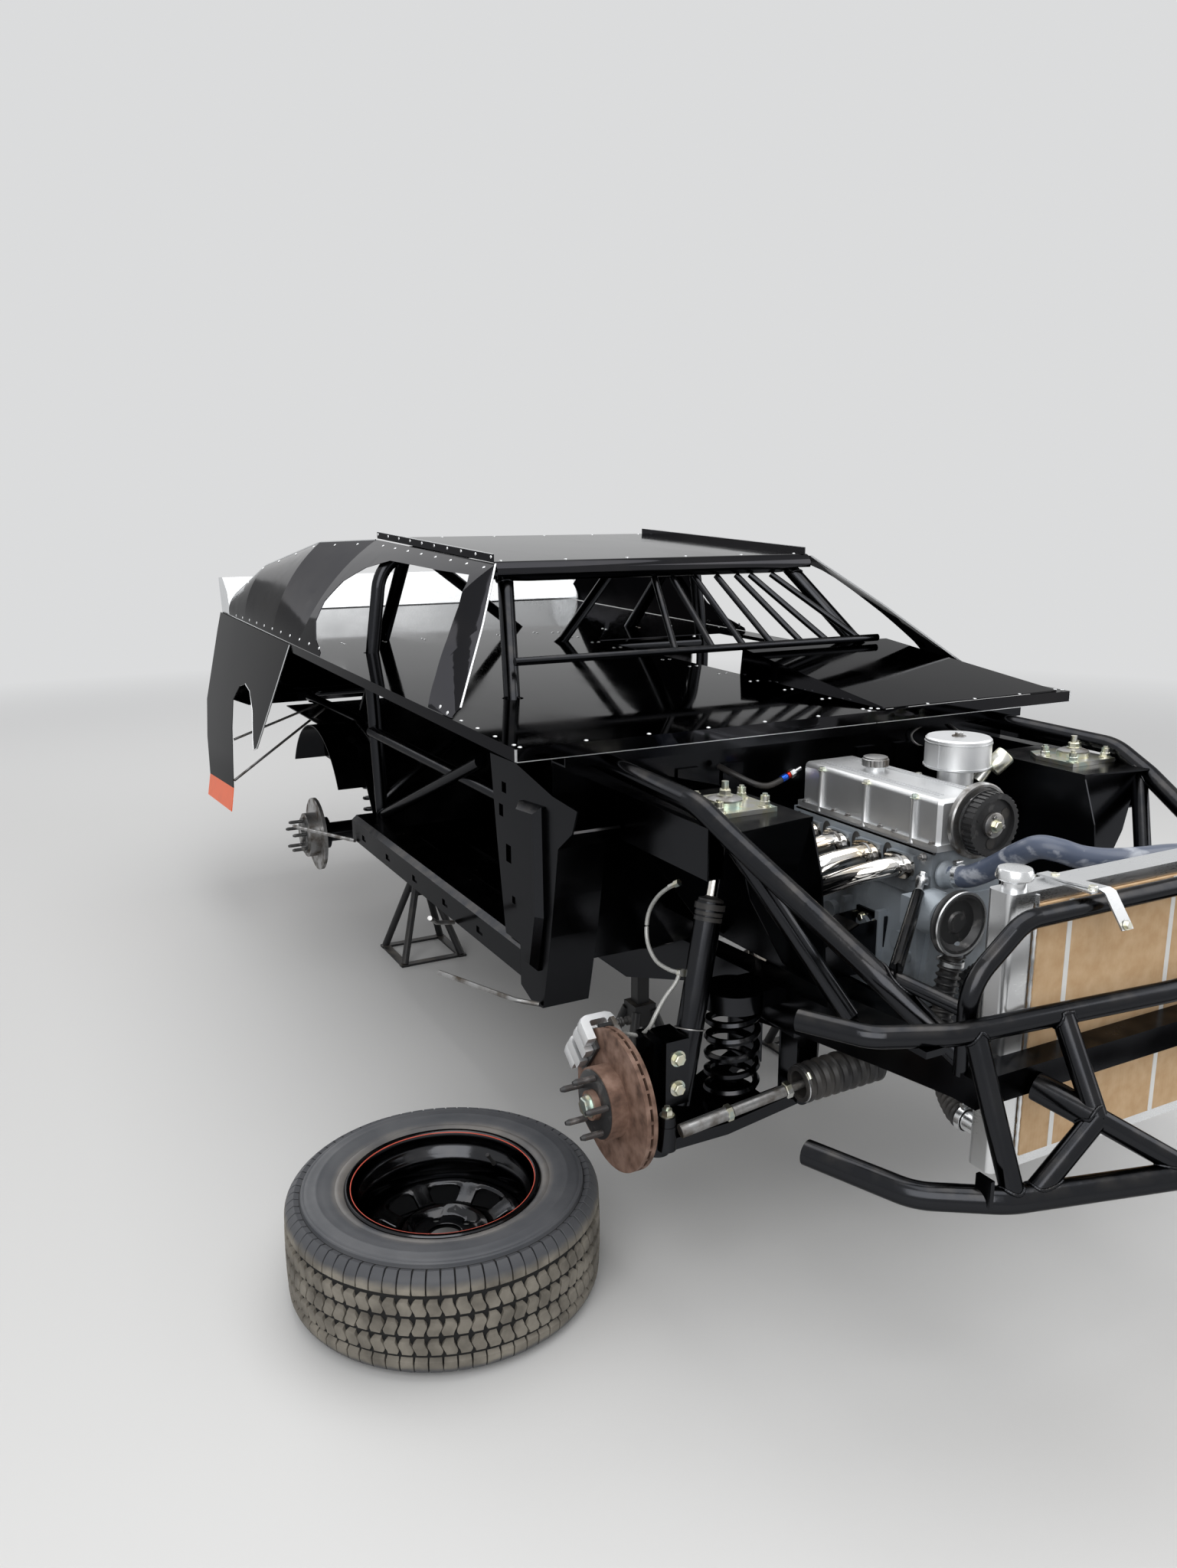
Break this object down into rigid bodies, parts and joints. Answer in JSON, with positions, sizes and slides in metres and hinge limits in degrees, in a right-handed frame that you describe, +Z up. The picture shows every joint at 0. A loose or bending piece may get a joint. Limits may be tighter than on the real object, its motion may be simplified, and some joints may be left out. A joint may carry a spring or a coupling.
{
  "type": "dirt-track stock car on stands",
  "caption": "Stripped dirt-track stock car on four stands: tube cage, sheet decks, open engine bay, hubs, steering.",
  "frame": {"origin": "on the floor, under the middle of the whole object's bounding box, the loose wheel included", "axes": "+X to the car's left, -Y ahead of the car, +Z up"},
  "size_m": [2.4233, 4.368, 1.535],
  "materials": {
    "chassis_black": "gloss black enamel",
    "panel_black": "mirror-gloss black sheet",
    "bare_aluminium": "brushed sheet",
    "cast_aluminium": "satin casting",
    "engine_grey": "grey paint",
    "header_chrome": "polished stainless",
    "rotor_rust": "rust-bloomed iron",
    "worn_steel": "worn bare steel",
    "zinc_plate": "zinc plate",
    "boot_rubber": "matt",
    "hose_rubber": "satin",
    "tyre_rubber": "dusty",
    "wheel_black": "gloss black",
    "card": "cardboard",
    "skirt_orange": "fluorescent orange",
    "stand_paint": "worn black paint"
  },
  "bodies": {
    "root": {"floor_pan": "chassis_black", "firewall": "chassis_black", "sills": "chassis_black", "hinge_pillars": "chassis_black", "aprons": "chassis_black", "frame_rails": "chassis_black", "roll_cage": "chassis_black", "windshield_bars": "chassis_black", "front_hoops": "chassis_black", "bumper": "chassis_black", "deck_right": "panel_black", "deck_left": "panel_black", "deck_rear": "panel_black", "roof_panel": "panel_black", "sail_panels": "panel_black", "quarter_panels": "panel_black", "quarter_skirts": "skirt_orange", "spoiler": "bare_aluminium", "tail_panel": "panel_black", "body_braces": "worn_steel", "camber_plates": "zinc_plate", "engine": "engine_grey", "valve_cover": "cast_aluminium", "header": "header_chrome", "intake": "cast_aluminium", "timing_drive": "worn_steel", "driveline": "worn_steel", "radiator": "bare_aluminium", "radiator_cover": "card", "upper_hose": "hose_rubber", "lower_arms": "chassis_black", "front_springs": "chassis_black", "rack_housing": "worn_steel", "rack_bellows": "boot_rubber", "rear_axle": "chassis_black", "rear_suspension": "chassis_black", "jack_stands": "stand_paint", "loose_tyre": "tyre_rubber", "loose_rim": "wheel_black"},
    "rack": {"rack_bar": "worn_steel"},
    "tie_rod_right": {"tie_rod_right": "worn_steel"},
    "knuckle_right": {"knuckle_right": "chassis_black", "caliper_right": "cast_aluminium"},
    "hub_front_right": {"hub_front_right": "rotor_rust"},
    "hub_rear_right": {"hub_rear_right": "worn_steel"},
    "tie_rod_left": {"tie_rod_left": "worn_steel"},
    "knuckle_left": {"knuckle_left": "chassis_black", "caliper_left": "cast_aluminium"},
    "hub_front_left": {"hub_front_left": "rotor_rust"},
    "hub_rear_left": {"hub_rear_left": "worn_steel"}
  },
  "joints": [
    {"name": "rack_slide", "type": "slide", "parent": "root", "child": "rack", "axis": [1, 0, 0], "range_m": [-0.038, 0.038]},
    {"name": "tie_rod_right_swing", "type": "hinge", "parent": "rack", "child": "tie_rod_right", "pos_m": [-0.13867, -1.47392, 0.47], "axis": [0, 0, 1], "range_deg": [-4, 4]},
    {"name": "steer_right", "type": "hinge", "parent": "root", "child": "knuckle_right", "pos_m": [-0.50867, -1.35392, 0.34], "axis": [0.2714, 0.089, 0.9583], "range_deg": [-25.2, 25.2]},
    {"name": "spin_front_right", "type": "hinge", "parent": "knuckle_right", "child": "hub_front_right", "pos_m": [-0.58767, -1.32392, 0.446], "axis": [1, 0, 0], "continuous": true},
    {"name": "spin_rear_right", "type": "hinge", "parent": "root", "child": "hub_rear_right", "pos_m": [-0.51667, 1.22908, 0.369], "axis": [1, 0, 0], "continuous": true},
    {"name": "tie_rod_left_swing", "type": "hinge", "parent": "rack", "child": "tie_rod_left", "pos_m": [0.52133, -1.47392, 0.47], "axis": [0, 0, 1], "range_deg": [-4, 4]},
    {"name": "steer_left", "type": "hinge", "parent": "root", "child": "knuckle_left", "pos_m": [0.89133, -1.35392, 0.34], "axis": [-0.2714, 0.089, 0.9583], "range_deg": [-25.2, 25.2]},
    {"name": "spin_front_left", "type": "hinge", "parent": "knuckle_left", "child": "hub_front_left", "pos_m": [0.97033, -1.32392, 0.446], "axis": [1, 0, 0], "continuous": true},
    {"name": "spin_rear_left", "type": "hinge", "parent": "root", "child": "hub_rear_left", "pos_m": [0.89933, 1.22908, 0.369], "axis": [1, 0, 0], "continuous": true}
  ],
  "couplings": [
    {"joint": "tie_rod_right_swing", "follows": "rack_slide", "rad_per_m": 1.46},
    {"joint": "steer_right", "follows": "rack_slide", "rad_per_m": 11.48},
    {"joint": "tie_rod_left_swing", "follows": "rack_slide", "rad_per_m": 1.46},
    {"joint": "steer_left", "follows": "rack_slide", "rad_per_m": 11.48}
  ]
}
